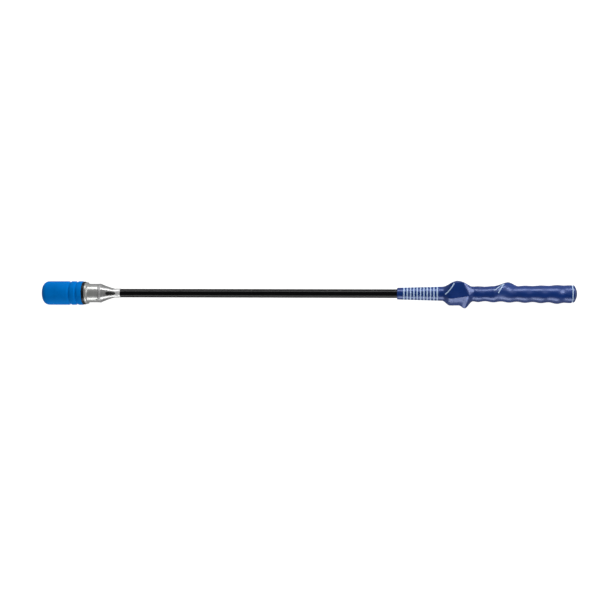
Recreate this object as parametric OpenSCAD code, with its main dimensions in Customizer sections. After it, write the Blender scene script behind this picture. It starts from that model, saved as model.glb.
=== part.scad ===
// Golf swing trainer: a sliding striker is held back by a magnet and clicks at the right swing speed.
// The axis of the stick is X. The flat of the nose is at X = 0 and the butt is at X = overall_l.
// Turning the silver dial with the blue head winds the magnet towards or away from the striker.

/* [Overall] */
// Length from the nose to the end of the butt
overall_l = 801.3; // [780:0.1:820]
// Play between parts that turn or slide on each other, on the radius
run_gap = 0.05; // [0.02:0.01:0.1]

/* [Blue head] */
// Radius of the rubber bumper
bumper_r = 18; // [17.5:0.1:20]
// Length of the rubber bumper
bumper_l = 62.6; // [60:0.1:65]
// Radius of the rounded front corner
nose_round = 9.5; // [8:0.5:12]
// Thickness of rubber in front of the barrel
nose_wall = 6; // [4:0.5:7]
// Depth of the two ring grooves
groove_d = 1.2; // [0.6:0.1:1.8]
// Width of a ring groove at its top
groove_w = 5.2; // [4:0.2:6]
// Distance from the nose to the first ring groove
groove_x = 42.8; // [38:0.2:43]
// Distance between the two ring grooves
groove_pitch = 10.6; // [9:0.2:11]

/* [Barrel and striker] */
// Outer radius of the barrel under the rubber
barrel_r = 14.6; // [13.5:0.1:15]
// Inner radius of the barrel
barrel_bore_r = 10.5; // [10:0.1:11]
// Thickness of the black flange between rubber and dial
flange_l = 3.4; // [3:0.1:4]
// Thickness of the anvil disc
anvil_l = 4; // [3:0.5:5]
// Length of the steel striker
striker_l = 23; // [18:0.5:23]
// Distance that the striker flies
striker_travel = 16; // [10:0.5:16]

/* [Dial] */
// Length of the silver dial sleeve
dial_l = 21.2; // [21.2:0.1:23]
// Outer radius of the dial sleeve
dial_r = 14.1; // [13.6:0.1:14.4]
// Radius of the flange at the front of the dial sleeve
dial_flange_r = 16.6; // [16:0.1:17.4]
// Number of strength levels, each a dimple in the sleeve and a tick on the hub
levels = 10; // [4:1:12]
// Travel of the magnet over the whole turn of the dial
magnet_travel = 4.5; // [3:0.1:4.5]

/* [Hub] */
// Radius of the neck that meets the shaft
neck_r = 7; // [6.8:0.1:8]
// Length of the hollow cone between bead and neck
cone_l = 20; // [16:0.5:24]
// Distance from the nose to the end of the neck
neck_end = 120.2; // [118:0.2:124]
// Width of the two window slots
slot_w = 4.6; // [3:0.1:5]
// Length of the two window slots
slot_l = 14.8; // [8:0.2:15]
// Turn of the window slots away from the top
slot_turn = 6; // [0:1:20]

/* [Shaft] */
// Outer radius of the shaft tube
shaft_r = 6.5; // [6:0.1:6.5]
// Wall of the shaft tube
shaft_wall = 1; // [0.8:0.1:1.4]

/* [Grip] */
// Distance from the nose to the mouth of the grip
grip_start = 539; // [520:1:545]
// Radius at the mouth of the grip
mouth_r = 8.75; // [8.3:0.05:9]
// Radius where the shaped part of the grip starts
neck_grip_r = 10.4; // [10:0.05:10.6]
// Widening of the shaped part, per millimetre of length
grip_taper = 0.0145; // [0:0.0005:0.02]
// Number of white rings round the front of the grip
ring_count = 11; // [5:1:11]
// Distance between two white rings
ring_pitch = 4.89; // [4:0.01:5]
// Width of a white ring
ring_w = 2; // [1:0.1:2.5]
// Height of the finger waves
wave_h = 0.52; // [0:0.02:0.7]
// Length of one finger wave
wave_pitch = 23; // [20:0.5:26]
// Distance from the axis to the flat that the grip lies on
rest_flat = 18; // [18:0.1:20]

/* [Hidden] */
$fn = 64;
eps = 0.01;

// ---- Stations along the axis ----
barrel_x = nose_wall;
anvil_x = barrel_x + 2;
chamber_x = anvil_x + anvil_l;
striker_x = chamber_x + 0.2 + striker_travel;
stop_x = striker_x + striker_l + 0.3;
stop_l = 2;
clip_l = 1;
flange_x = bumper_l;
dial_x = flange_x + flange_l;
dial_end = dial_x + dial_l;
spigot_l = 4;
nut_x = dial_x + spigot_l;
nut_l = 6.5;
boss_x = nut_x + nut_l + 0.3;
bead_x = dial_end + 0.3;
bead_l = 3;
bead_r = 14.4;
pocket_end = bead_x - 3.3;
screw_end = pocket_end - 0.3;
key_x = pocket_end - 1.8;
detent_x = dial_end - 1.4;
dot_x = dial_end - 1.9;
snap_x = boss_x + 2.6;
screw_x = stop_x + stop_l + magnet_travel + 5.8;
magnet_x = screw_x - 5.5;

// ---- Radii inside the head ----
boss_r = 12;
boss_bore_r = 9.3;
screw_r = 9;
spigot_r = 12.5;
flange_r = 17.4;
rod_r = 1.6;
hub_bore_r = 4.2;
tube_bore_r = shaft_r - shaft_wall;
slot_x = 98.4;
ball_r = 0.9;
ball_z = 10.8;
spring_foot_z = 5.2;
cone_steps = 16;

// ---- Butt ----
cap_l = 6.3;
butt_ring_w = 1.7;
dome_l = 4.2;
butt_r = 12.5;
butt_plug_r = tube_bore_r - 0.4;
cap_x = overall_l - cap_l;
butt_ring_x = cap_x - butt_ring_w;
form_x = 603;
form_end = butt_ring_x;

// A solid turned about the X axis from an outline of [radius, x] points.
module turned(outline) {
  rotate([0, 90, 0]) rotate_extrude() polygon(outline);
}

// A plain tube or disc along X.
module tube(x0, x1, outer, inner = 0) {
  turned([[inner, x0], [outer, x0], [outer, x1], [inner, x1]]);
}

// A straight round bar along X, for cutting.
module bar(x0, x1, r) {
  translate([x0, 0, 0]) rotate([0, 90, 0]) cylinder(h = x1 - x0, r = r);
}

// Points of an arc in the [radius, x] plane, from angle a0 to a1.
function arc(cr, cx, r, a0, a1, n = 12) =
  [for (i = [0 : n]) let (a = a0 + (a1 - a0) * i / n) [cr + r * cos(a), cx + r * sin(a)]];

// ======== Head: everything that turns with the dial ========

// One soft ring groove in the bumper's outline: a shallow arc, groove_w wide at the surface.
function groove(x) = let (
    half = groove_w / 2,
    r = (half * half + groove_d * groove_d) / (2 * groove_d),
    reach = asin(half / r),
    round = arc(bumper_r + r - groove_d, x, r, 180 + reach, 180 - reach, 8))
  concat([[bumper_r, x - half]], [for (i = [1 : 7]) round[i]], [[bumper_r, x + half]]);

module impact_bumper() color([0.0, 0.36, 0.78]) turned(concat(
  [[0, nose_wall], [0, 0]],
  arc(bumper_r - nose_round, nose_round, nose_round, 270, 360, 16),
  groove(groove_x),
  groove(groove_x + groove_pitch),
  arc(bumper_r - 1.2, bumper_l - 1.2, 1.2, 0, 90, 4),
  [[barrel_r, bumper_l], [barrel_r, nose_wall]]));

module barrel() color([0.05, 0.05, 0.055]) difference() {
  turned([[0, barrel_x], [barrel_r, barrel_x], [barrel_r, flange_x], [flange_r - 0.3, flange_x],
          [flange_r, flange_x + 0.3], [flange_r, dial_x - 0.3], [flange_r - 0.3, dial_x],
          [spigot_r, dial_x], [spigot_r, nut_x], [0, nut_x]]);
  bar(anvil_x, nut_x + 1, barrel_bore_r);
  tube(stop_x + stop_l, stop_x + stop_l + clip_l, 11.1);
}

module anvil() color([0.6, 0.61, 0.63]) turned([[0, anvil_x], [barrel_bore_r, anvil_x],
  [barrel_bore_r, chamber_x - 0.5], [barrel_bore_r - 0.5, chamber_x], [0, chamber_x]]);

module stop_disc() color([0.82, 0.8, 0.74]) tube(stop_x, stop_x + stop_l, barrel_bore_r);

// A ring that is split over gap degrees.
module split_ring(x, l, outer, inner, gap) {
  rotate([90, 0, 0]) rotate([0, 90, 0]) translate([0, 0, x])
    rotate([0, 0, gap / 2]) rotate_extrude(angle = 360 - gap) translate([inner, 0])
      square([outer - inner, l]);
}

module stop_clip() color([0.35, 0.35, 0.37])
  split_ring(stop_x + stop_l, clip_l, 11.1, 9.9, 40);

// Dimples for the detent ball, one for each level.
module dimples() {
  for (i = [0 : levels - 1]) rotate([i * 360 / levels, 0, 0])
    translate([detent_x, 0, boss_r - 0.3]) sphere(r = 1.1);
}

// A round peg standing on the dial's surface, sunk by depth.
module index_peg(depth, h) {
  rotate([47, 0, 0]) translate([dot_x, 0, dial_r - depth]) cylinder(h = h, r = 1.2);
}

module dial_sleeve() color([0.75, 0.76, 0.78]) difference() {
  turned(concat(
    [[spigot_r, dial_x]],
    arc(dial_flange_r - 1.1, dial_x + 1.1, 1.1, 270, 360, 4),
    [[dial_flange_r, dial_x + 2.6], [dial_flange_r - 1, dial_x + 4]],
    arc(dial_r + 1.8, dial_x + 6, 1.8, 240, 180, 4),
    [[dial_r, dial_end - 0.6], [dial_r - 0.5, dial_end], [boss_r + run_gap, dial_end],
     [boss_r + run_gap, nut_x + nut_l], [screw_r + run_gap, nut_x + nut_l],
     [screw_r + run_gap, nut_x], [spigot_r, nut_x]]));
  tube(snap_x - 0.2, snap_x + 1.2, 12.95);
  dimples();
  index_peg(0.5, 3);
}

module index_dot() color([0.04, 0.04, 0.04]) index_peg(0.5, 0.6);

// ======== Striker ========

module striker() color([0.62, 0.63, 0.65]) difference() {
  turned([[0, striker_x], [9.2, striker_x], [10.2, striker_x + 1],
          [10.2, striker_x + 7], [9.9, striker_x + 7.3], [9.9, striker_x + 8.7],
          [10.2, striker_x + 9], [10.2, striker_x + striker_l - 7],
          [9.9, striker_x + striker_l - 6.7], [9.9, striker_x + striker_l - 5.3],
          [10.2, striker_x + striker_l - 5], [10.2, striker_x + striker_l - 0.6],
          [9.6, striker_x + striker_l], [0, striker_x + striker_l]]);
  bar(striker_x - 1, striker_x + 3, 2.5);
}

// ======== Magnet carrier: slides when the dial turns ========

module lead_screw() color([0.72, 0.58, 0.3]) difference() {
  turned([[0, screw_x], [screw_r - 0.5, screw_x], [screw_r, screw_x + 0.5],
          [screw_r, screw_end - 0.5], [screw_r - 0.5, screw_end], [0, screw_end]]);
  bar(screw_x - 1, screw_x + 8, 1.5);
  bar(screw_end - 6, screw_end + 1, rod_r);
  translate([key_x, -20, 0]) rotate([-90, 0, 0]) cylinder(h = 40, r = 1);
}

module magnet_cup() color([0.66, 0.67, 0.68]) difference() {
  tube(magnet_x, screw_x, 9.5);
  bar(magnet_x - 1, magnet_x + 4, 7.7);
  bar(magnet_x, screw_x + 1, 1.5);
}

module magnet() color([0.78, 0.78, 0.76]) difference() {
  tube(magnet_x, magnet_x + 4, 7.5);
  turned([[0, magnet_x - eps], [3.1, magnet_x - eps], [1.5, magnet_x + 1.6], [1.5, magnet_x + 5],
          [0, magnet_x + 5]]);
}

module magnet_screw() color([0.3, 0.3, 0.32]) difference() {
  turned([[0, magnet_x + 0.1], [2.95, magnet_x + 0.1], [1.45, magnet_x + 1.65],
          [1.45, screw_x + 7], [0, screw_x + 7]]);
  translate([magnet_x, -4, -0.4]) cube([0.8, 8, 0.8]);
}

module indicator_rod() color([0.7, 0.71, 0.72]) difference() {
  turned([[0, screw_end - 6], [rod_r, screw_end - 6], [rod_r, neck_end + 4.7],
          [rod_r - 0.5, neck_end + 5.2], [0, neck_end + 5.2]]);
  translate([key_x, -20, 0]) rotate([-90, 0, 0]) cylinder(h = 40, r = 1);
}

module key_pin() color([0.5, 0.5, 0.52])
  translate([key_x, -11, 0]) rotate([-90, 0, 0]) cylinder(h = 22, r = 1);

// ======== Detent: clicks into the dimples of the sleeve ========

module detent_ball() color([0.8, 0.8, 0.82]) translate([detent_x, 0, ball_z]) sphere(r = ball_r);

coil_r = 0.62;
wire_r = 0.16;
coil_turns = 6;
coil_steps = 12;
coil_sides = 6;
spring_l = ball_z - ball_r - spring_foot_z - 2 * wire_r - 0.05;

// Point k round the wire, at step i along the coil.
function coil_point(i, k) = let (
    turn = 360 * i / coil_steps,
    a = 360 * k / coil_sides,
    r = coil_r + wire_r * cos(a),
    z = spring_foot_z + wire_r + spring_l * i / (coil_steps * coil_turns) + wire_r * sin(a))
  [detent_x + r * cos(turn), r * sin(turn), z];

// A closed solid through rings of points, each ring the same size.
module skin(rings, sides, count) {
  polyhedron(rings, concat(
    [for (i = [0 : count - 2], k = [0 : sides - 1], h = [0, 1]) let (
        k2 = (k + 1) % sides, a = i * sides + k, b = i * sides + k2)
      h == 0 ? [a, b, b + sides] : [a, b + sides, a + sides]],
    [[for (k = [sides - 1 : -1 : 0]) k]],
    [[for (k = [0 : sides - 1]) (count - 1) * sides + k]]));
}

module detent_spring() color([0.7, 0.7, 0.72]) skin(
  [for (i = [0 : coil_steps * coil_turns], k = [0 : coil_sides - 1]) coil_point(i, k)],
  coil_sides, coil_steps * coil_turns + 1);

// ======== Hub, shaft and grip: the part that is held ========

// The bead, the hollow cone and the neck, as [radius, x].
cone = concat(
  [[bead_r - 0.3, bead_x], [bead_r, bead_x + 0.3], [bead_r, bead_x + bead_l - 0.4],
   [bead_r - 0.5, bead_x + bead_l]],
  [for (i = [0 : cone_steps]) let (u = i / cone_steps)
    [neck_r + 6.6 * pow(1 - u, 1.25), bead_x + bead_l + 0.6 + cone_l * u]],
  [[neck_r, neck_end - 0.3], [neck_r - 0.3, neck_end]]);

module window_cut() {
  rotate([slot_turn, 0, 0]) {
    for (x = [slot_x + slot_w / 2, slot_x + slot_l - slot_w / 2])
      translate([x, 0, -20]) cylinder(h = 40, r = slot_w / 2);
    translate([slot_x + slot_w / 2, -slot_w / 2, -20]) cube([slot_l - slot_w, slot_w, 40]);
  }
}

// Engraved ticks on the bead, one for each level.
module ticks() {
  for (i = [0 : levels - 1]) rotate([i * 360 / levels, 0, 0])
    translate([bead_x - 1, -0.3, bead_r - 0.35]) cube([2.6, 0.6, 2]);
}

module hub() color([0.78, 0.79, 0.8]) difference() {
  turned(concat([[0, boss_x], [boss_r, boss_x], [boss_r, bead_x]], cone,
    [[tube_bore_r, neck_end], [tube_bore_r, neck_end + 27], [tube_bore_r - 0.6, neck_end + 27.6],
     [0, neck_end + 27.6]]));
  bar(boss_x - 1, pocket_end, boss_bore_r);
  bar(pocket_end - 1, neck_end - 3.3, hub_bore_r);
  bar(neck_end - 5, neck_end + 30, rod_r + run_gap);
  translate([boss_x - 1, -20, -1.1]) cube([key_x + 1.4 - boss_x + 1, 40, 2.2]);
  difference() {
    tube(snap_x, snap_x + 1, 20);
    bar(snap_x - 1, snap_x + 2, 11.2);
  }
  translate([detent_x, 0, spring_foot_z]) cylinder(h = 10, r = ball_r + run_gap);
  window_cut();
  ticks();
}

module snap_ring() color([0.3, 0.3, 0.32]) split_ring(snap_x + 0.05, 0.9, 12.7, 11.25, 50);

module shaft() color([0.06, 0.06, 0.065]) tube(neck_end, butt_ring_x, shaft_r, tube_bore_r);

// ---- The shape of the grip: the radius at x, at an angle from the top towards +Y ----

function clamp01(u) = min(1, max(0, u));
function ease(u) = let (c = clamp01(u)) c * c * (3 - 2 * c);
function bell(u) = exp(-u * u);
// Smooth curve through evenly spaced values, u counts the intervals.
function spline(v, u) = let (
    i = min(len(v) - 2, max(0, floor(u))), t = u - i,
    a = v[max(0, i - 1)], b = v[i], c = v[i + 1], d = v[min(len(v) - 1, i + 2)])
  b + t * (c - a) / 2 + t * t * (a - 2.5 * b + 2 * c - d / 2) + t * t * t * ((d - a) / 2 + 1.5 * (b - c));
function wrap(a) = a - 360 * floor(a / 360);
function signed(a) = wrap(a + 180) - 180;

// The flare winds once round the grip. Each list has one value per eighth of a turn,
// starting on the top side: crest position, height, where the shoulder is full,
// share of the height in the crest itself, and width of the slope behind it.
flare_turn = -8;
flare_x = 605;
crest_run = 9;
crest_x = [643, 636.5, 628, 631, 633, 635.5, 638, 641, 643];
crest_h = [7.5, 11.5, 8.5, 9.4, 8.6, 9.6, 10.8, 9, 7.5];
shoulder_x = [618, 620, 627, 627, 624, 620, 617, 617, 618];
crest_share = [0, 0, 0.05, 0.1, 0.15, 0.25, 0.45, 0, 0];
slope_w = [9.5, 19, 22, 21, 17, 14, 12.6, 9, 9.5];

// The flare is cut flat for the thumb on top, and flat again beside it, towards -Y.
thumb_z = 14.6;
facet_z = 15.5;
facet_turn = -41;
facet_slope = 0.1;
function under_flat(z, a) = z / max(cos(a), 0.3) - neck_grip_r;

function flare(x, a) = let (
    u = wrap(a - flare_turn) / 45,
    d = x - spline(crest_x, u),
    s = spline(crest_share, u),
    rise = (1 - s) * ease((x - flare_x) / (spline(shoulder_x, u) - flare_x))
      + s * ease(1 + d / crest_run),
    fall = d > 0 ? ease(1 - d / spline(slope_w, u)) : 1,
    facet = facet_z - facet_slope * min(20, max(0, x - 620)),
    h = min(spline(crest_h, u), under_flat(thumb_z, a), under_flat(facet, a - facet_turn)))
  h * rise * fall;

// The thumb rest is a little hollow.
function scoop(x, a) = 0.6 * bell((x - 630) / 9) * bell(signed(a - 8) / 20);

// A ridge that climbs over the top side, with a hollow in front of it.
function palm_bump(x, a) = let (
    up = ease(signed(a) / 80),
    d = x - (687 + 0.155 * signed(a)),
    beside = signed(a - 88),
    h = 5.4 * bell(beside / (beside < 0 ? 95 : 52)) * ease((beside + 138) / 70))
  h * (d < 0 ? ease(1 + d / (9 + 11 * up)) : ease(1 - d / (19 - 3.5 * up)))
    - 0.8 * bell((x - 678) / 5.5) * bell(signed(a + 4) / 38);

// Behind the flare the section is a little taller than wide.
function oval(x, a) = 0.7 * (1 + cos(2 * a)) * ease((x - 640) / 24) * ease((791 - x) / 16);

function wave(x, a) = (wave_h + 0.22 * cos(a + 110)) * cos(360 * (x - 680) / wave_pitch)
  * ease((x - 650) / 8) * ease((792 - x) / 14);

function heel(x, a) = (0.45 - 0.2 * sin(a)) * bell((x - 772) / 8);

function grip_r(x, a) = let (
    r = neck_grip_r + grip_taper * (x - form_x) - 0.35 * sin(a) * ease((x - 640) / 20)
      + flare(x, a) - scoop(x, a) + palm_bump(x, a) + oval(x, a) + wave(x, a) + heel(x, a),
    c = -cos(a))
  c > 0.5 ? min(r, rest_flat / c) : r;

function grip_point(x, a, lift = 0) = let (r = grip_r(x, a) + lift) [x, r * sin(a), r * cos(a)];

grip_sides = 48;
// Stations of the shaped part: close together on the flare, wider behind it.
grip_stations = concat([for (x = [form_x : 1.75 : 650]) x], [for (x = [652.5 : 2.9 : form_end - 2]) x],
  [form_end]);

module grip_form() skin(
  [for (x = grip_stations, k = [0 : grip_sides - 1]) grip_point(x, 360 * k / grip_sides)],
  grip_sides, len(grip_stations));

ring_x0 = 549.3 - ring_w / 2;
function sleeve_r(x) = mouth_r + (neck_grip_r + 0.05 - mouth_r) * (x - 541) / (form_x + 0.6 - 541);

module ring_bands(depth) {
  for (i = [0 : ring_count - 1]) let (x0 = ring_x0 + i * ring_pitch, x1 = x0 + ring_w)
    turned([[sleeve_r(x0) - depth, x0], [sleeve_r(x0), x0], [sleeve_r(x1), x1],
            [sleeve_r(x1) - depth, x1]]);
}

module grip() color([0.09, 0.18, 0.47]) difference() {
  union() {
    turned(concat([[0, grip_start]],
      arc(mouth_r - 1.2, grip_start + 1.2, 1.2, 270, 350, 4),
      [for (i = [0 : ring_count - 1], e = [0, 1, 2, 3]) let (
          x = ring_x0 + i * ring_pitch + (e > 1 ? ring_w : 0))
        [sleeve_r(x) - (e == 1 || e == 2 ? 0.6 : 0), x]],
      [[sleeve_r(form_x + 1.2), form_x + 1.2], [0, form_x + 1.2]]));
    grip_form();
  }
  bar(grip_start - 1, overall_l, shaft_r);
}

module grip_rings() color([0.75, 0.84, 0.95]) ring_bands(0.6);

// A painted line that is let into the grip, from [x, angle] to [x, angle].
line_w = 1.5;
line_steps = 14;
module inlay(x0, a0, x1, a1) {
  skin([for (i = [0 : line_steps]) let (
      u = i / line_steps,
      x = x0 + (x1 - x0) * u,
      a = a0 + (a1 - a0) * u,
      r = grip_r(x, a),
      along = [x1 - x0, r * (a1 - a0) * PI / 180],
      side = [-along[1], along[0]] * (line_w / 2) / norm(along),
      da = side[1] / r * 180 / PI)
    each [grip_point(x - side[0], a - da, 0.12), grip_point(x + side[0], a + da, 0.12),
          grip_point(x + side[0], a + da, -0.6), grip_point(x - side[0], a - da, -0.6)]],
    4, line_steps + 1);
}

module thumb_line() color([0.75, 0.84, 0.95]) inlay(609.6, -5, 622.9, 47);

module palm_lines() color([0.75, 0.84, 0.95]) {
  inlay(681.2, 23, 695.6, 64);
  inlay(686.6, 3, 695.6, 64);
}

module butt_ring() color([0.75, 0.84, 0.95]) tube(butt_ring_x, cap_x, butt_r, butt_plug_r);

module butt_cap() color([0.08, 0.16, 0.42]) difference() {
  turned(concat([[0, butt_ring_x - 14], [butt_plug_r - 0.5, butt_ring_x - 14],
    [butt_plug_r, butt_ring_x - 13.5], [butt_plug_r, cap_x], [butt_r, cap_x]],
    [for (u = [1 : -0.1 : 0.05]) [butt_r * u, overall_l - dome_l * u * u]], [[0, overall_l]]));
  bar(butt_ring_x - 20, overall_l + 1, 1);
}

impact_bumper();
barrel();
anvil();
stop_disc();
stop_clip();
dial_sleeve();
index_dot();
striker();
lead_screw();
magnet_cup();
magnet();
magnet_screw();
indicator_rod();
key_pin();
detent_ball();
detent_spring();
hub();
snap_ring();
shaft();
grip();
grip_rings();
thumb_line();
palm_lines();
butt_ring();
butt_cap();
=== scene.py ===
import math

import bmesh
import bpy
import numpy as np
from mathutils import Matrix, Vector


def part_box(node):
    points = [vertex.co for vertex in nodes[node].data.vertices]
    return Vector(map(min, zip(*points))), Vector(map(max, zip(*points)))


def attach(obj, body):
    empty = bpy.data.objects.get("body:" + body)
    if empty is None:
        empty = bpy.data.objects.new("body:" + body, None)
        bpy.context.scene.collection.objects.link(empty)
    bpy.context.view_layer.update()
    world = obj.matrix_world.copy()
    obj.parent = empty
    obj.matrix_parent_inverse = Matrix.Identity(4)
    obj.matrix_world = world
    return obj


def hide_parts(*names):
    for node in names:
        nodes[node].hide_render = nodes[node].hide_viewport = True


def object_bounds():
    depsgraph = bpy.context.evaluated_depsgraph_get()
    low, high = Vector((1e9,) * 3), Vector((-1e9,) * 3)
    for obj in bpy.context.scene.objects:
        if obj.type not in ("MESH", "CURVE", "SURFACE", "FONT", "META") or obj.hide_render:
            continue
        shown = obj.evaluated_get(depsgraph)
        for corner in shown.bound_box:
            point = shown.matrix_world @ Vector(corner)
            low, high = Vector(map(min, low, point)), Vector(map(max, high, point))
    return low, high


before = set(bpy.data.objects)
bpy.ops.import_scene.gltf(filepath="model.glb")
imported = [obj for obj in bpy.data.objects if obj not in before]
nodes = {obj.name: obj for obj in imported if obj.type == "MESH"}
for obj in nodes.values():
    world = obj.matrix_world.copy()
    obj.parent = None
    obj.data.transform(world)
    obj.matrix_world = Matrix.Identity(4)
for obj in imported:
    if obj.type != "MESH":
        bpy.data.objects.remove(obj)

cad_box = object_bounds()
MM = 0.001
LEVELS = 10
PAST = 2.0  # how far a cutter reaches past the surface it cuts


def span(node):
    """Where a CAD node starts and ends along the stick, in millimetres."""
    low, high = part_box(node)
    return low.x / MM, high.x / MM


# ---------------------------------------------------------------- the stage

FLOOR_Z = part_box("impact_bumper")[0].z
STICK_MID = (cad_box[0].x + cad_box[1].x) / 2


def make_camera():
    """Looks down on the stick from above its grip end, turned a little towards the head."""
    height, foot_x, foot_y = 1.8, 0.58318, -0.0098
    turn, roll = math.radians(5.993), math.radians(0.145)
    focal_over_width = 2.016
    data = bpy.data.cameras.new("camera")
    data.sensor_width = 36
    data.lens = 36 * focal_over_width
    data.clip_end = 60
    camera = bpy.data.objects.new("camera", data)
    bpy.context.scene.collection.objects.link(camera)
    right = Vector((math.cos(turn), 0, -math.sin(turn)))
    ahead = Vector((-math.sin(turn), 0, -math.cos(turn)))
    right = right * math.cos(roll) + Vector((0, 1, 0)) * math.sin(roll)
    up = right.cross(ahead)
    camera.matrix_world = Matrix((
        (right.x, up.x, -ahead.x, foot_x),
        (right.y, up.y, -ahead.y, foot_y),
        (right.z, up.z, -ahead.z, height),
        (0, 0, 0, 1)))
    bpy.context.scene.camera = camera


def make_floor():
    """A plane under the stick, much wider than the view."""
    size, rows = 24.0, 24
    bm = bmesh.new()
    bmesh.ops.create_grid(bm, x_segments=rows, y_segments=rows, size=size / 2)
    mesh = bpy.data.meshes.new("floor")
    bm.to_mesh(mesh)
    bm.free()
    floor = bpy.data.objects.new("floor", mesh)
    floor.location = (STICK_MID, 0, FLOOR_Z)
    bpy.context.scene.collection.objects.link(floor)
    return floor


def soft_box(name, towards, distance, length, width, power, middle=STICK_MID):
    """A soft light that shines at the stick from a direction; its length lies along the stick."""
    data = bpy.data.lights.new(name, "AREA")
    data.shape = "RECTANGLE"
    data.size, data.size_y = length, width
    data.energy = power
    light = bpy.data.objects.new(name, data)
    towards = Vector(towards).normalized()
    side = Vector((1, 0, 0)) - towards * towards.x
    side.normalize()
    turned = Matrix((side, towards.cross(side), towards)).transposed().to_4x4()
    light.matrix_world = Matrix.Translation(Vector((middle, 0, 0)) + towards * distance) @ turned
    bpy.context.scene.collection.objects.link(light)


def make_light():
    """A long soft box to each side, a smaller one past the butt, and a dim grey sky."""
    upper, lower, end = math.radians(64), math.radians(76), math.radians(54)
    long_x = 0.32
    soft_box("upper_soft_box", (0, math.sin(upper), math.cos(upper)), 1.6, 1.6, 0.56, 17, long_x)
    soft_box("lower_soft_box", (0, -math.sin(lower), math.cos(lower)), 1.6, 1.6, 0.85, 17.5, long_x)
    soft_box("end_soft_box", (math.sin(end), 0.5, math.cos(end)), 1.7, 0.6, 1.0, 15)
    world = bpy.data.worlds.new("world")
    world.use_nodes = True
    tree = world.node_tree
    tree.nodes.clear()
    out = tree.nodes.new("ShaderNodeOutputWorld")
    sky = tree.nodes.new("ShaderNodeBackground")
    ramp = tree.nodes.new("ShaderNodeValToRGB")
    split = tree.nodes.new("ShaderNodeSeparateXYZ")
    place = tree.nodes.new("ShaderNodeTexCoord")
    ramp.color_ramp.elements[0].position = 0.1
    ramp.color_ramp.elements[0].color = (0.45, 0.45, 0.45, 1)
    ramp.color_ramp.elements[1].position = 0.7
    ramp.color_ramp.elements[1].color = (0.05, 0.05, 0.05, 1)
    tree.links.new(place.outputs["Generated"], split.inputs[0])
    tree.links.new(split.outputs["Z"], ramp.inputs[0])
    tree.links.new(ramp.outputs["Color"], sky.inputs["Color"])
    tree.links.new(sky.outputs[0], out.inputs[0])
    sky.inputs["Strength"].default_value = 1.0
    bpy.context.scene.world = world
    bpy.context.scene.view_settings.view_transform = "Standard"


# ---------------------------------------------------------------- materials

class Shader:
    """A material being put together: its nodes, its principled shader and its object coordinates."""

    def __init__(self, name, roughness, metallic=0.0, **sockets):
        self.material = bpy.data.materials.new(name)
        self.material.use_nodes = True
        self.tree = self.material.node_tree
        self.shader = self.tree.nodes["Principled BSDF"]
        self.shader.inputs["Roughness"].default_value = roughness
        self.shader.inputs["Metallic"].default_value = metallic
        for key, value in sockets.items():
            self.shader.inputs[key.replace("_", " ")].default_value = value
        self.place = self.node("ShaderNodeTexCoord").outputs["Object"]

    def node(self, kind, **settings):
        made = self.tree.nodes.new(kind)
        for key, value in settings.items():
            setattr(made, key, value)
        return made

    def join(self, start, end):
        self.tree.links.new(start, end)

    def stretched(self, scale, detail=3.0, roughness=0.55):
        """Noise in object space, stretched along each axis: cells per metre."""
        mapping = self.node("ShaderNodeMapping")
        mapping.inputs["Scale"].default_value = scale
        noise = self.node("ShaderNodeTexNoise")
        noise.inputs["Scale"].default_value = 1.0
        noise.inputs["Detail"].default_value = detail
        noise.inputs["Roughness"].default_value = roughness
        self.join(self.place, mapping.inputs["Vector"])
        self.join(mapping.outputs["Vector"], noise.inputs["Vector"])
        return noise.outputs["Fac"]

    def noise(self, scale, **settings):
        return self.stretched((scale, scale, scale), **settings)

    def ramp(self, value, stops):
        """Colour stops of (position, colour)."""
        made = self.node("ShaderNodeValToRGB")
        elements = made.color_ramp.elements
        while len(elements) < len(stops):
            elements.new(0.5)
        for element, (position, colour) in zip(elements, stops):
            element.position = position
            element.color = (*colour, 1)
        self.join(value, made.inputs["Fac"])
        return made.outputs["Color"]

    def colour(self, value, dark, light, low=0.35, high=0.65):
        """A base colour that runs from dark to light with a value."""
        self.join(self.ramp(value, [(low, dark), (high, light)]), self.shader.inputs["Base Color"])

    def mix(self, factor, first, second):
        """Mixes two colours; first and second are sockets or colours."""
        made = self.node("ShaderNodeMix", data_type="RGBA")
        for socket, value in ((made.inputs[6], first), (made.inputs[7], second)):
            if isinstance(value, tuple):
                socket.default_value = (*value, 1)
            else:
                self.join(value, socket)
        self.join(factor, made.inputs[0])
        return made.outputs[2]

    def span(self, value, low, high, start=0.3, end=0.7):
        """Maps start..end of a value to low..high."""
        made = self.node("ShaderNodeMapRange")
        made.inputs["From Min"].default_value = start
        made.inputs["From Max"].default_value = end
        made.inputs["To Min"].default_value = low
        made.inputs["To Max"].default_value = high
        self.join(value, made.inputs["Value"])
        return made.outputs["Result"]

    def rough(self, value, low, high):
        self.join(self.span(value, low, high), self.shader.inputs["Roughness"])

    def bump(self, value, depth, strength=1.0):
        """Raises the surface by up to depth metres; several calls add up."""
        made = self.node("ShaderNodeBump")
        made.inputs["Distance"].default_value = depth
        made.inputs["Strength"].default_value = strength
        self.join(value, made.inputs["Height"])
        normal = self.shader.inputs["Normal"]
        if normal.is_linked:
            self.join(normal.links[0].from_socket, made.inputs["Normal"])
        self.join(made.outputs["Normal"], normal)


def blue_silicone():
    """Dull moulded silicone, a little uneven; the tint keeps its sheen blue."""
    s = Shader("blue_silicone", 0.5, IOR=1.15, Specular_Tint=(0.05, 0.45, 1.0, 1))
    s.colour(s.noise(60, detail=4), (0.0, 0.162, 0.56), (0.0, 0.184, 0.63))
    s.rough(s.noise(240, detail=5), 0.46, 0.6)
    s.bump(s.noise(1500, detail=2), 0.00003, 0.5)
    s.bump(s.noise(70, detail=1), 0.0001, 0.25)
    return s.material


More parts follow.
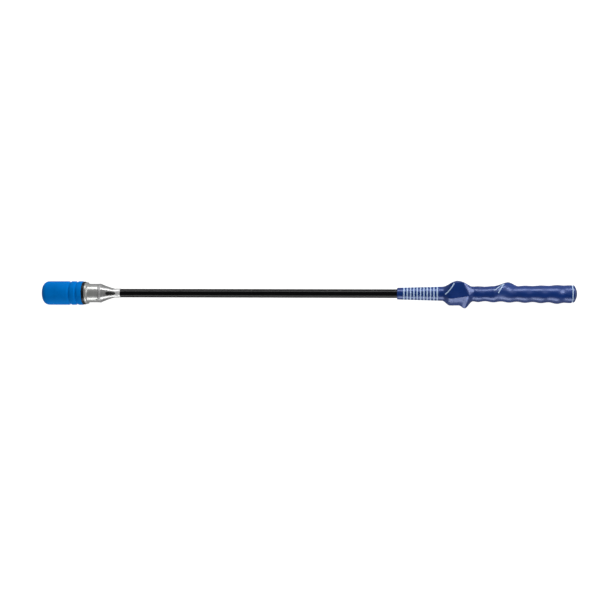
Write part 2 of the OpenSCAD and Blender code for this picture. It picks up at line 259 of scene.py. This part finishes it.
def black_nylon():
    s = Shader("black_nylon", 0.4, IOR=1.35)
    s.colour(s.noise(300), (0.003, 0.004, 0.005), (0.008, 0.009, 0.011))
    s.rough(s.noise(500, detail=4), 0.34, 0.5)
    s.bump(s.noise(2500, detail=2), 0.00002, 0.6)
    return s.material


def turned_metal(name, dark, light, rough_low, rough_high, metallic, pitch=0.0004, depth=0.000004):
    """Metal with fine lathe marks round the X axis."""
    s = Shader(name, rough_low, metallic=metallic, Specular_Tint=(0.35, 0.35, 0.35, 1))
    marks = s.stretched((1 / pitch, 15, 15), detail=3, roughness=0.7)
    s.colour(marks, dark, light)
    s.rough(s.stretched((900, 40, 40), detail=5), rough_low, rough_high)
    s.bump(marks, depth)
    s.bump(s.noise(350, detail=4), 0.00001, 0.4)
    return s.material


def hub_zones(material):
    """Makes the bead satin and the neck light, and leaves the cone between them polished."""
    satin, light = (0.4, 0.4, 0.4), (0.7, 0.7, 0.7)
    roughness, metallic = 0.45, 0.45
    x0, x1 = span("dial_sleeve")[1] * MM, span("shaft")[0] * MM
    zones = ((x0 + 0.0048, x0 + 0.0036, satin), (x1 - 0.011, x1 - 0.008, light))
    tree = material.node_tree
    shader = tree.nodes["Principled BSDF"]
    place = tree.nodes.new("ShaderNodeTexCoord")
    split = tree.nodes.new("ShaderNodeSeparateXYZ")
    tree.links.new(place.outputs["Object"], split.inputs[0])
    for start, end, colour in zones:
        zone = tree.nodes.new("ShaderNodeMapRange")
        zone.inputs["From Min"].default_value = start
        zone.inputs["From Max"].default_value = end
        tree.links.new(split.outputs["X"], zone.inputs["Value"])
        blend = tree.nodes.new("ShaderNodeMix")
        blend.data_type = "RGBA"
        tree.links.new(zone.outputs["Result"], blend.inputs[0])
        tree.links.new(shader.inputs["Base Color"].links[0].from_socket, blend.inputs[6])
        blend.inputs[7].default_value = (*colour, 1)
        tree.links.new(blend.outputs[2], shader.inputs["Base Color"])
        for socket, value in (("Roughness", roughness), ("Metallic", metallic)):
            mixed = tree.nodes.new("ShaderNodeMix")
            tree.links.new(zone.outputs["Result"], mixed.inputs[0])
            if shader.inputs[socket].is_linked:
                tree.links.new(shader.inputs[socket].links[0].from_socket, mixed.inputs[2])
            else:
                mixed.inputs[2].default_value = shader.inputs[socket].default_value
            mixed.inputs[3].default_value = value
            tree.links.new(mixed.outputs[0], shader.inputs[socket])


def plain_metal(name, dark, light, rough_low, rough_high):
    """Ground or plated metal with fine random scratches."""
    s = Shader(name, rough_low, metallic=1.0)
    grain = s.stretched((600, 2600, 2600), detail=4)
    s.colour(s.noise(500), dark, light)
    s.rough(grain, rough_low, rough_high)
    s.bump(grain, 0.000004, 0.7)
    return s.material


def threaded_brass():
    """Brass with a thread each millimetre along the X axis."""
    thread_scale = 314
    s = Shader("brass", 0.3, metallic=1.0)
    wave = s.node("ShaderNodeTexWave", bands_direction="X")
    wave.inputs["Scale"].default_value = thread_scale
    wave.inputs["Distortion"].default_value = 0.3
    s.join(s.place, wave.inputs["Vector"])
    s.colour(s.noise(300), (0.55, 0.36, 0.13), (0.78, 0.56, 0.24))
    s.rough(s.noise(700), 0.24, 0.42)
    s.bump(wave.outputs["Fac"], 0.0003, 0.8)
    return s.material


def black_lacquer():
    """Glossy black, with faint scuffs along the tube."""
    s = Shader("black_lacquer", 0.2, IOR=1.27)
    scuffs = s.stretched((14, 1500, 1500), detail=4, roughness=0.65)
    s.colour(scuffs, (0.002, 0.002, 0.0022), (0.006, 0.006, 0.0065))
    s.rough(s.stretched((25, 900, 900), detail=5), 0.14, 0.26)
    s.bump(s.noise(420, detail=2), 0.00002, 0.35)
    return s.material


def navy_rubber(name, dark, light):
    """Moulded rubber with a satin gloss; a mesh's crest attribute mixes in a paler blue, a painted
    highlight.
    """
    # The paler blue of the painted highlight.
    highlight_colour = (0.05, 0.11, 0.38)
    s = Shader(name, 0.34, IOR=1.9, Specular_Tint=(0.55, 0.64, 1.0, 1))
    body = s.ramp(s.noise(45, detail=5), [(0.35, dark), (0.65, light)])
    # The crest attribute says where the painted highlight goes.
    highlight_paint = s.node("ShaderNodeAttribute", attribute_name="crest")
    s.join(s.mix(highlight_paint.outputs["Fac"], body, highlight_colour), s.shader.inputs["Base Color"])
    s.rough(s.noise(260, detail=5), 0.29, 0.37)
    s.bump(s.noise(2200, detail=2), 0.00002, 0.7)
    s.bump(s.noise(160, detail=3), 0.00006, 0.3)
    return s.material


def white_paint():
    s = Shader("white_paint", 0.5)
    s.colour(s.noise(700, detail=5), (0.36, 0.5, 0.72), (0.46, 0.6, 0.8), 0.3, 0.6)
    s.rough(s.noise(400), 0.42, 0.6)
    s.bump(s.noise(1800), 0.00003, 0.4)
    return s.material


def acetal():
    s = Shader("white_acetal", 0.4)
    s.colour(s.noise(200), (0.62, 0.6, 0.54), (0.74, 0.72, 0.66))
    s.rough(s.noise(500), 0.35, 0.5)
    s.bump(s.stretched((2500, 30, 30)), 0.000006)
    return s.material


def enamel():
    s = Shader("black_enamel", 0.2, IOR=1.12)
    s.colour(s.noise(900), (0.004, 0.004, 0.004), (0.012, 0.012, 0.012))
    s.bump(s.noise(900), 0.00002, 0.4)
    return s.material


def pale_floor():
    """White to look at, and only a dim grey in what it throws back onto the stick."""
    s = Shader("pale_floor", 0.9, Emission_Color=(1, 1, 1, 1))
    s.colour(s.noise(3), (0.3, 0.3, 0.3), (0.32, 0.32, 0.32))
    to_camera, to_others = 0.95, 0.1
    seen = s.node("ShaderNodeLightPath").outputs["Is Camera Ray"]
    s.join(s.span(seen, to_others, to_camera, 0, 1), s.shader.inputs["Emission Strength"])
    return s.material


# ---------------------------------------------------------------- mesh building, in millimetres

def make_object(name, mesh, body, material, sharp=math.radians(38)):
    mesh.polygons.foreach_set("use_smooth", [True] * len(mesh.polygons))
    mesh.set_sharp_from_angle(angle=sharp)
    mesh.materials.append(material)
    made = bpy.data.objects.new(name, mesh)
    bpy.context.scene.collection.objects.link(made)
    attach(made, body)
    return made


def mesh_from(name, points, faces):
    """A clean closed mesh from points in millimetres; points in the same place become one."""
    mesh = bpy.data.meshes.new(name)
    mesh.from_pydata([Vector(p) * MM for p in points], [], faces)
    bm = bmesh.new()
    bm.from_mesh(mesh)
    bmesh.ops.remove_doubles(bm, verts=bm.verts, dist=1e-7)
    bmesh.ops.recalc_face_normals(bm, faces=bm.faces)
    bm.to_mesh(mesh)
    bm.free()
    return mesh


def skin(rings, closed=False):
    """Faces between rings of points; closed also joins the last ring to the first."""
    sides = len(rings[0])
    count = len(rings)
    faces = []
    for i in range(count if closed else count - 1):
        j = (i + 1) % count
        for k in range(sides):
            m = (k + 1) % sides
            faces.append((i * sides + k, i * sides + m, j * sides + m, j * sides + k))
    return [p for ring in rings for p in ring], faces


def lathe_rings(outline, sides):
    """Rings of points for an outline of (x, r), about the X axis."""
    turn = 2 * np.pi * np.arange(sides) / sides
    return [[(x, r * math.sin(t), r * math.cos(t)) for t in turn] for x, r in outline]


def lathe_mesh(name, outlines, sides=144):
    """One mesh of closed outlines of (x, r), each turned about the X axis."""
    points, faces = [], []
    for outline in outlines:
        ring_points, ring_faces = skin(lathe_rings(outline, sides), closed=True)
        base = len(points)
        points += ring_points
        faces += [tuple(base + k for k in face) for face in ring_faces]
    return mesh_from(name, points, faces)


def arc(cx, cr, radius, start, end, steps=8):
    """Points (x, r) of an arc; the angle is measured from +X towards +r."""
    return [(cx + radius * math.cos(math.radians(a)), cr + radius * math.sin(math.radians(a)))
            for a in np.linspace(start, end, steps + 1)]


def turned_piece(name, node, body, material, outlines, cutters=()):
    """A piece that is turned on a lathe, has holes cut in it, and stands for a CAD node."""
    mesh = lathe_mesh(name, outlines)
    if cutters:
        mesh = carve(mesh, cutters)
    piece = make_object(name, mesh, body, material)
    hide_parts(node)
    return piece


def carve(mesh, cutters):
    """The mesh with the cutters' space taken out of it."""
    block = bpy.data.objects.new("block", mesh)
    bpy.context.scene.collection.objects.link(block)
    tools = []
    for cutter in cutters:
        tool = bpy.data.objects.new("tool", cutter)
        bpy.context.scene.collection.objects.link(tool)
        cut = block.modifiers.new("cut", "BOOLEAN")
        cut.operation, cut.solver, cut.object = "DIFFERENCE", "EXACT", tool
        tools.append(tool)
    graph = bpy.context.evaluated_depsgraph_get()
    carved = bpy.data.meshes.new_from_object(block.evaluated_get(graph))
    carved.name = mesh.name
    for made in [block] + tools:
        bpy.data.objects.remove(made)
    return carved


def prism(outline, low, high, turn):
    """A straight solid over an outline of (x, y), low to high along Z, turned from +Z to +Y."""
    c, s = math.cos(math.radians(turn)), math.sin(math.radians(turn))
    rings = [[(x, y * c + z * s, z * c - y * s) for x, y in outline] for z in (low, high)]
    points, faces = skin(rings)
    count = len(outline)
    faces += [tuple(range(count)), tuple(range(2 * count - 1, count - 1, -1))]
    return mesh_from("cutter", points, faces)


def circle(x, radius, steps=32):
    """Points (x, y) of a circle, for a cutter."""
    return [(x + radius * math.cos(a), radius * math.sin(a))
            for a in np.linspace(0, 2 * np.pi, steps, False)]


# ---------------------------------------------------------------- the head

def make_bumper(material):
    """The silicone boot: a rounded nose, two soft ring grooves and an open rear end."""
    x0, x1 = span("impact_bumper")
    radius, nose, lip, wall, bore = 18.0, 9.5, 1.2, 6.0, 14.6
    groove_d, groove_w, grooves = 1.2, 2.9, (42.8, 53.4)
    outline = [(x0, 0)] + arc(nose, radius - nose, nose, 180, 90, 20)
    for middle in grooves:
        for u in np.linspace(-1, 1, 17):
            depth = groove_d * (0.5 + 0.5 * math.cos(math.pi * u))
            outline.append((middle + u * groove_w, radius - depth))
    outline += arc(x1 - lip, radius - lip, lip, 90, 0, 6)
    outline += [(x1, bore), (wall, bore), (wall, 0)]
    turned_piece("bumper_boot", "impact_bumper", "head", material, [outline])


def make_barrel(material):
    """The black tube that the boot sits on: only its flange shows between boot and dial."""
    x0, x1 = span("barrel")
    flange_x, dial_x = span("impact_bumper")[1], span("dial_sleeve")[0]
    outer, flange, edge, bore, spigot, floor = 14.6, 17.4, 0.35, 10.5, 12.5, 2.0
    outline = [(x0, 0), (x0, outer), (flange_x, outer), (flange_x, flange - edge)]
    outline += arc(flange_x + edge, flange - edge, edge, 180, 90, 4)
    outline += arc(dial_x - edge, flange - edge, edge, 90, 0, 4)
    outline += [(dial_x, spigot), (x1, spigot), (x1, bore), (x0 + floor, bore), (x0 + floor, 0)]
    turned_piece("barrel_tube", "barrel", "head", material, [outline])


def make_dial(material):
    """The sleeve that sets the strength: a seat for the index dot, and a dimple for each level."""
    x0, x1 = span("dial_sleeve")
    radius, flange, inner, nut_bore, spigot = 14.1, 16.6, 12.05, 9.05, 12.5
    front, back, fillet, rim = 1.1, 0.8, 1.8, 0.6
    flange_l, fillet_x, nut_l = 3.0, 6.0, 6.5
    nut_x = span("barrel")[1]
    nut_end = nut_x + nut_l
    outline = [(x0, spigot), (x0, flange - front)]
    outline += arc(x0 + front, flange - front, front, 180, 90, 6)
    outline += arc(x0 + flange_l, flange - back, back, 90, 30, 5)
    outline += arc(x0 + fillet_x, radius + fillet, fillet, 210, 270, 8)
    outline += arc(x1 - rim, radius - rim, rim, 90, 0, 5)
    outline += [(x1, inner), (nut_end, inner), (nut_end, nut_bore), (nut_x, nut_bore), (nut_x, spigot)]
    dot_low, dot_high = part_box("index_dot")
    dot = (dot_low + dot_high) / 2
    dot_turn = math.degrees(math.atan2(dot.y, dot.z))
    dot_r, dot_depth = (dot_high.x - dot_low.x) / 2 / MM, 0.55
    dimple, dimple_low, dimple_high = circle(x1 - 1.4, 1.05), 11, 12.65
    cutters = [prism(circle(dot.x / MM, dot_r), radius - dot_depth, radius + PAST, dot_turn)]
    cutters += [prism(dimple, dimple_low, dimple_high, 360 / LEVELS * i) for i in range(LEVELS)]
    turned_piece("dial_shell", "dial_sleeve", "head", material, [outline], cutters)


def make_hub(material):
    """The bead with a tick for each level, the hollow cone with two long windows, and the neck."""
    x0, x1 = span("hub")
    bead_x, neck_end = span("dial_sleeve")[1] + 0.3, span("shaft")[0]
    bead_l, bead_r, boss_r, neck_r = 3.0, 14.4, 12.0, 7.0
    boss_bore, hub_bore, rod_bore, plug_r = 9.3, 4.2, 1.65, 5.5
    front, back, rim, tip = 0.5, 0.8, 0.3, 0.6
    boss_end, cone_end = bead_x - 3.3, neck_end - 3.3
    cone_x, cone_l, cone_h, cone_power = bead_x + bead_l + 0.6, 20.0, 6.6, 1.25
    outline = [(x0, boss_r), (bead_x, boss_r), (bead_x, bead_r - rim)]
    outline += arc(bead_x + front, bead_r - front, front, 170, 90, 4)
    outline += arc(bead_x + bead_l - back, bead_r - back, back, 90, 20, 6)
    for u in np.linspace(0, 1, 40):
        outline.append((cone_x + cone_l * u, neck_r + cone_h * (1 - u) ** cone_power))
    outline += arc(neck_end - rim, neck_r - rim, rim, 90, 0, 3)
    outline += [(neck_end, plug_r), (x1 - tip, plug_r), (x1, plug_r - tip), (x1, rod_bore),
                (cone_end, rod_bore), (cone_end, hub_bore), (boss_end, hub_bore),
                (boss_end, boss_bore), (x0, boss_bore)]
    slot_x, slot_l, slot_r, slot_turn, slot_reach = 98.4, 14.8, 2.4, -6, 20
    slot = [(slot_x + slot_r + slot_r * math.cos(a), slot_r * math.sin(a))
            for a in np.linspace(np.pi / 2, 3 * np.pi / 2, 15)]
    slot += [(slot_x + slot_l - slot_r + slot_r * math.cos(a), slot_r * math.sin(a))
             for a in np.linspace(-np.pi / 2, np.pi / 2, 15)]
    ball_pocket, pocket_low, pocket_high = circle(bead_x - 1.7, 0.95), 5.2, 13
    start, stop, half, depth = bead_x - 1, bead_x + 1.6, 0.3, 0.35
    tick = [(start, -half), (stop, -half), (stop, half), (start, half)]
    cutters = [prism(slot, -slot_reach, slot_reach, slot_turn)]
    cutters.append(prism(ball_pocket, pocket_low, pocket_high, 0))
    cutters += [prism(tick, bead_r - depth, bead_r + PAST, 360 / LEVELS * i) for i in range(LEVELS)]
    turned_piece("hub_cone", "hub", "stick", material, [outline], cutters)


# ---------------------------------------------------------------- shaft and butt

def make_shaft(material):
    """The plain tube, in short lengths so that its faces stay well shaped."""
    x0, x1 = span("shaft")
    outer, bore = 6.5, 5.5
    stations = np.linspace(x0, x1, 60)
    outline = [(x, outer) for x in stations] + [(x, bore) for x in stations[::-1]]
    turned_piece("shaft_tube", "shaft", "stick", material, [outline])


def make_butt(ring_material, cap_material):
    """The white ring, and the low domed cap with its plug and vent."""
    x0, x1 = span("butt_ring")
    radius, edge, bore = 12.55, 0.3, 5.1
    ring = [(x0, bore)] + arc(x0 + edge, radius - edge, edge, 180, 90, 4)
    ring += arc(x1 - edge, radius - edge, edge, 90, 0, 4) + [(x1, bore)]
    turned_piece("butt_band", "butt_ring", "stick", ring_material, [ring])
    plug_x, cap_end = span("butt_cap")
    rim, vent, dome, lead_in = 12.5, 1.0, 4.2, 0.5
    cap = [(plug_x, vent), (plug_x, bore - lead_in), (plug_x + lead_in, bore)]
    cap += [(x1, bore), (x1, rim - 0.2)]
    cap += arc(x1 + edge, rim - edge, edge, 180, 90, 3) + [(cap_end - dome - edge, rim)]
    cap += [(cap_end - dome * (r / rim) ** 2, r) for r in np.linspace(rim - 0.25, vent, 24)]
    turned_piece("butt_end", "butt_cap", "stick", cap_material, [cap])


# ---------------------------------------------------------------- the grip's shape, in millimetres

GRIP = {
    "mouth_x": 539.0, "mouth_r": 8.75, "form_x": 603.0, "form_r": 10.4, "taper": 0.0145,
    "end_x": 793.3, "bore_r": 6.5, "lip": 1.2, "flat": 18.0,
    "ring_x0": 548.3, "ring_pitch": 4.89, "ring_w": 2.0, "ring_count": 11, "ring_depth": 0.6,
    "wave_h": 0.52, "wave_pitch": 23.0,
}
# The flare winds once round the grip: one value for each eighth of a turn from its start.
FLARE_X, FLARE_TURN, CREST_RUN = 605, -8, 9
CREST_X = (643, 636.5, 628, 631, 633, 635.5, 638, 641, 643)
CREST_H = (7.5, 11.5, 8.5, 9.4, 8.6, 9.6, 10.8, 9.0, 7.5)
SHOULDER_X = (618, 620, 627, 627, 624, 620, 617, 617, 618)
CREST_SHARE = (0, 0, 0.05, 0.1, 0.15, 0.25, 0.45, 0, 0)
SLOPE_W = (9.5, 19, 22, 21, 17, 14, 12.6, 9, 9.5)
# The flare is cut flat for the thumb on top, and flat again beside it, towards -Y.
REST_Z, FACET_R, FACET_TURN, FACET_SLOPE = 14.6, 15.5, -41, 0.1


def ease(u):
    """Runs smoothly from 0 at 0 to 1 at 1."""
    c = np.clip(u, 0, 1)
    return c * c * (3 - 2 * c)


def bell(u):
    return np.exp(-u * u)


def spline(values, u):
    """Smooth curve through evenly spaced values; u counts the intervals."""
    v = np.asarray(values, float)
    last = len(v) - 1
    i = np.clip(np.floor(u).astype(int), 0, last - 1)
    t = u - i
    a, b = v[np.maximum(i - 1, 0)], v[i]
    c, d = v[i + 1], v[np.minimum(i + 2, last)]
    return (b + t * (c - a) / 2 + t ** 2 * (a - 2.5 * b + 2 * c - d / 2)
            + t ** 3 * ((d - a) / 2 + 1.5 * (b - c)))


def signed(a):
    """The same angle, from -180 to 180."""
    return (a + 180) % 360 - 180


def sind(a):
    return np.sin(np.radians(a))


def cosd(a):
    return np.cos(np.radians(a))


def flare(x, a):
    """The thumb flare: it rises from the sleeve to its crest and falls behind it."""
    u = ((a - FLARE_TURN) % 360) / 45
    d = x - spline(CREST_X, u)
    share = spline(CREST_SHARE, u)
    rise = ((1 - share) * ease((x - FLARE_X) / (spline(SHOULDER_X, u) - FLARE_X))
            + share * ease(1 + d / CREST_RUN))
    fall = np.where(d > 0, ease(1 - d / spline(SLOPE_W, u)), 1)
    height = spline(CREST_H, u)
    facet = FACET_R - FACET_SLOPE * np.clip(x - 620, 0, 20)
    for flat, turn in ((REST_Z, 0), (facet, FACET_TURN)):
        height = np.minimum(height, flat / np.maximum(cosd(a - turn), 0.3) - GRIP["form_r"])
    return height * rise * fall


def scoop(x, a):
    """The thumb rest is a little hollow."""
    return 0.6 * bell((x - 630) / 9) * bell(signed(a - 8) / 20)


def palm_bump(x, a):
    """A ridge that climbs over the top side, with a hollow in front of it."""
    up = ease(signed(a) / 80)
    d = x - (687 + 0.155 * signed(a))
    beside = signed(a - 88)
    height = 5.4 * bell(beside / np.where(beside < 0, 95, 52)) * ease((beside + 138) / 70)
    return (height * np.where(d < 0, ease(1 + d / (9 + 11 * up)), ease(1 - d / (19 - 3.5 * up)))
            - 0.8 * bell((x - 678) / 5.5) * bell(signed(a + 4) / 38))


def oval(x, a):
    """The section is a little taller than wide."""
    return 0.7 * (1 + cosd(2 * a)) * ease((x - 640) / 24) * ease((791 - x) / 16)


def wave(x, a):
    """The finger waves."""
    height = GRIP["wave_h"] + 0.22 * cosd(a + 110)
    return (height * cosd(360 * (x - 680) / GRIP["wave_pitch"])
            * ease((x - 650) / 8) * ease((792 - x) / 14))


def heel(x, a):
    """A slight swell before the butt."""
    return (0.45 - 0.2 * sind(a)) * bell((x - 772) / 8)


def grip_radius(x, a):
    """Radius of the shaped part at x and at an angle from the top towards +Y."""
    r = (GRIP["form_r"] + GRIP["taper"] * (x - GRIP["form_x"]) - 0.35 * sind(a) * ease((x - 640) / 20)
         + flare(x, a) - scoop(x, a) + palm_bump(x, a) + oval(x, a) + wave(x, a) + heel(x, a))
    down = np.maximum(-cosd(a), 0.5)
    return np.where(-cosd(a) > 0.5, np.minimum(r, GRIP["flat"] / down), r)


def sleeve_radius(x):
    """Radius of the tapered sleeve that the rings are let into."""
    start = 541
    run = GRIP["form_x"] + 0.6 - start
    return GRIP["mouth_r"] + (GRIP["form_r"] + 0.05 - GRIP["mouth_r"]) * (x - start) / run


def ring_spans():
    """Where each white ring starts and ends."""
    starts = [GRIP["ring_x0"] + i * GRIP["ring_pitch"] for i in range(GRIP["ring_count"])]
    return [(a, a + GRIP["ring_w"]) for a in starts]


def grip_outline():
    """(x, outer radius) up to the shaped part: lip, then the ring grooves."""
    lip, x0, low = GRIP["lip"], GRIP["mouth_x"], GRIP["ring_depth"]
    points = arc(x0 + lip, GRIP["mouth_r"] - lip, lip, 180, 100, 8)
    for a, b in ring_spans():
        points += [(a, sleeve_radius(a)), (a, sleeve_radius(a) - low),
                   (b, sleeve_radius(b) - low), (b, sleeve_radius(b))]
    return points


def painted_highlight(x, a):
    """How much painted highlight the rubber gets, as a paler colour: on the flare's edge beside the
    thumb flat, and on the palm's web.
    """
    u = ((a - FLARE_TURN) % 360) / 45
    edge = bell((x - spline(CREST_X, u)) / 1.3) * bell(signed(a - 330) / 16)
    web = 0.3 * bell((x - 692) / 10) * bell(signed(a + 8) / 22)
    return np.clip(edge + web, 0, 1)


def make_grip(material):
    """The grip in rings half a millimetre apart, open at both ends for the shaft."""
    sides, step, slack = 160, 0.5, 0.01
    angles = 360 * np.arange(sides) / sides
    bore = GRIP["bore_r"] + slack
    rings = lathe_rings([(GRIP["mouth_x"], bore)] + grip_outline(), sides)
    crest = [0.0] * (len(rings) * sides)
    for x in np.arange(GRIP["form_x"], GRIP["end_x"] + slack, step):
        r = grip_radius(x, angles)
        rings.append([(x, q * s, q * c) for q, s, c in zip(r, sind(angles), cosd(angles))])
        # Each ring's share of the painted highlight, kept in the crest attribute.
        crest += list(painted_highlight(x, angles))
    rings += lathe_rings([(GRIP["end_x"], bore)], sides)
    crest += [0.0] * sides
    points, faces = skin(rings, closed=True)
    mesh = bpy.data.meshes.new("grip_rubber")
    mesh.from_pydata([Vector(p) * MM for p in points], [], faces)
    mesh.attributes.new("crest", "FLOAT", "POINT").data.foreach_set("value", crest)
    grip = make_object("grip_rubber", mesh, "stick", material)
    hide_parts("grip")


def make_rings(material):
    """The white rings: soft bands that fill the grooves and stand a little proud."""
    outlines = []
    for a, b in ring_spans():
        low, edge, proud = GRIP["ring_depth"], 0.25, 0.1
        top = sleeve_radius((a + b) / 2) + proud
        outlines.append([(a, top - low)] + arc(a + edge, top - edge, edge, 180, 90, 4)
                        + arc(b - edge, top - edge, edge, 90, 0, 4) + [(b, top - low)])
    turned_piece("ring_bands", "grip_rings", "stick", material, outlines)


def make_line(name, node, spans, material):
    """Painted lines let into the grip, each from (x, angle) to (x, angle)."""
    steps, half, tip = 48, 0.75, 0.06
    across = (-1, -0.72, 0, 0.72, 1, 0.8, -0.8)
    lift = (0.02, 0.13, 0.17, 0.13, 0.02, -0.5, -0.5)
    points, faces = [], []
    for x0, a0, x1, a1 in spans:
        rings = []
        for i in range(steps + 1):
            u = i / steps
            x, a = x0 + (x1 - x0) * u, a0 + (a1 - a0) * u
            r = float(grip_radius(x, a))
            along = Vector((x1 - x0, r * math.radians(a1 - a0))).normalized()
            past = max(0, abs(u - 0.5) * 2 - (1 - tip)) / tip
            end = math.sqrt(max(0.02, 1 - past ** 2))
            ring = []
            for s, h in zip(across, lift):
                px = x - along.y * half * end * s
                pa = a + math.degrees(along.x * half * end * s / r)
                q = float(grip_radius(px, pa)) + h
                ring.append((px, q * float(sind(pa)), q * float(cosd(pa))))
            rings.append(ring)
        base = len(points)
        made, sheet = skin(rings)
        points += made
        faces += [tuple(base + k for k in f) for f in sheet]
        sides = len(across)
        faces.append(tuple(base + k for k in range(sides - 1, -1, -1)))
        faces.append(tuple(base + steps * sides + k for k in range(sides)))
    line = make_object(name, mesh_from(name, points, faces), "stick", material)
    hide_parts(node)


# ---------------------------------------------------------------- putting it together

def dress(material, *names):
    """Gives CAD nodes a material."""
    for name in names:
        mesh = nodes[name].data
        mesh.materials.clear()
        mesh.materials.append(material)


make_camera()
make_floor().data.materials.append(pale_floor())
make_light()

steel = plain_metal("ground_steel", (0.42, 0.43, 0.45), (0.56, 0.57, 0.59), 0.22, 0.4)
dark_steel = plain_metal("spring_steel", (0.12, 0.12, 0.13), (0.2, 0.2, 0.22), 0.3, 0.45)
nickel = plain_metal("nickel", (0.6, 0.59, 0.56), (0.7, 0.69, 0.66), 0.12, 0.25)
sleeve_metal = turned_metal(
    "turned_aluminium", (0.42, 0.425, 0.415), (0.55, 0.555, 0.545), 0.29, 0.37, 0.6)
hub_metal = turned_metal(
    "cast_aluminium", (0.36, 0.36, 0.36), (0.46, 0.46, 0.46), 0.2, 0.3, 0.6, pitch=0.0008)
hub_zones(hub_metal)
rubber = navy_rubber("navy_rubber", (0.0005, 0.021, 0.14), (0.001, 0.029, 0.185))
paint = white_paint()
boot, nylon, lacquer = blue_silicone(), black_nylon(), black_lacquer()
cap_rubber = navy_rubber("cap_rubber", (0.0005, 0.017, 0.11), (0.001, 0.024, 0.145))

dress(boot, "impact_bumper")
dress(nylon, "barrel")
dress(sleeve_metal, "dial_sleeve")
dress(hub_metal, "hub")
dress(enamel(), "index_dot")
dress(lacquer, "shaft")
dress(steel, "anvil", "striker", "magnet_cup", "indicator_rod")
dress(dark_steel, "stop_clip", "snap_ring", "key_pin", "magnet_screw", "detent_spring")
dress(nickel, "magnet", "detent_ball")
dress(acetal(), "stop_disc")
dress(threaded_brass(), "lead_screw")
dress(paint, "grip_rings", "butt_ring", "thumb_line", "palm_lines")
dress(rubber, "grip")
dress(cap_rubber, "butt_cap")

make_bumper(boot)
make_barrel(nylon)
make_dial(sleeve_metal)
make_hub(hub_metal)
make_shaft(lacquer)
make_grip(rubber)
make_rings(paint)
make_line("thumb_stripe", "thumb_line", [(609.6, -5, 622.9, 47)], paint)
make_line("palm_stripes", "palm_lines", [(681.2, 23, 695.6, 64), (686.6, 3, 695.6, 64)], paint)
make_butt(paint, cap_rubber)
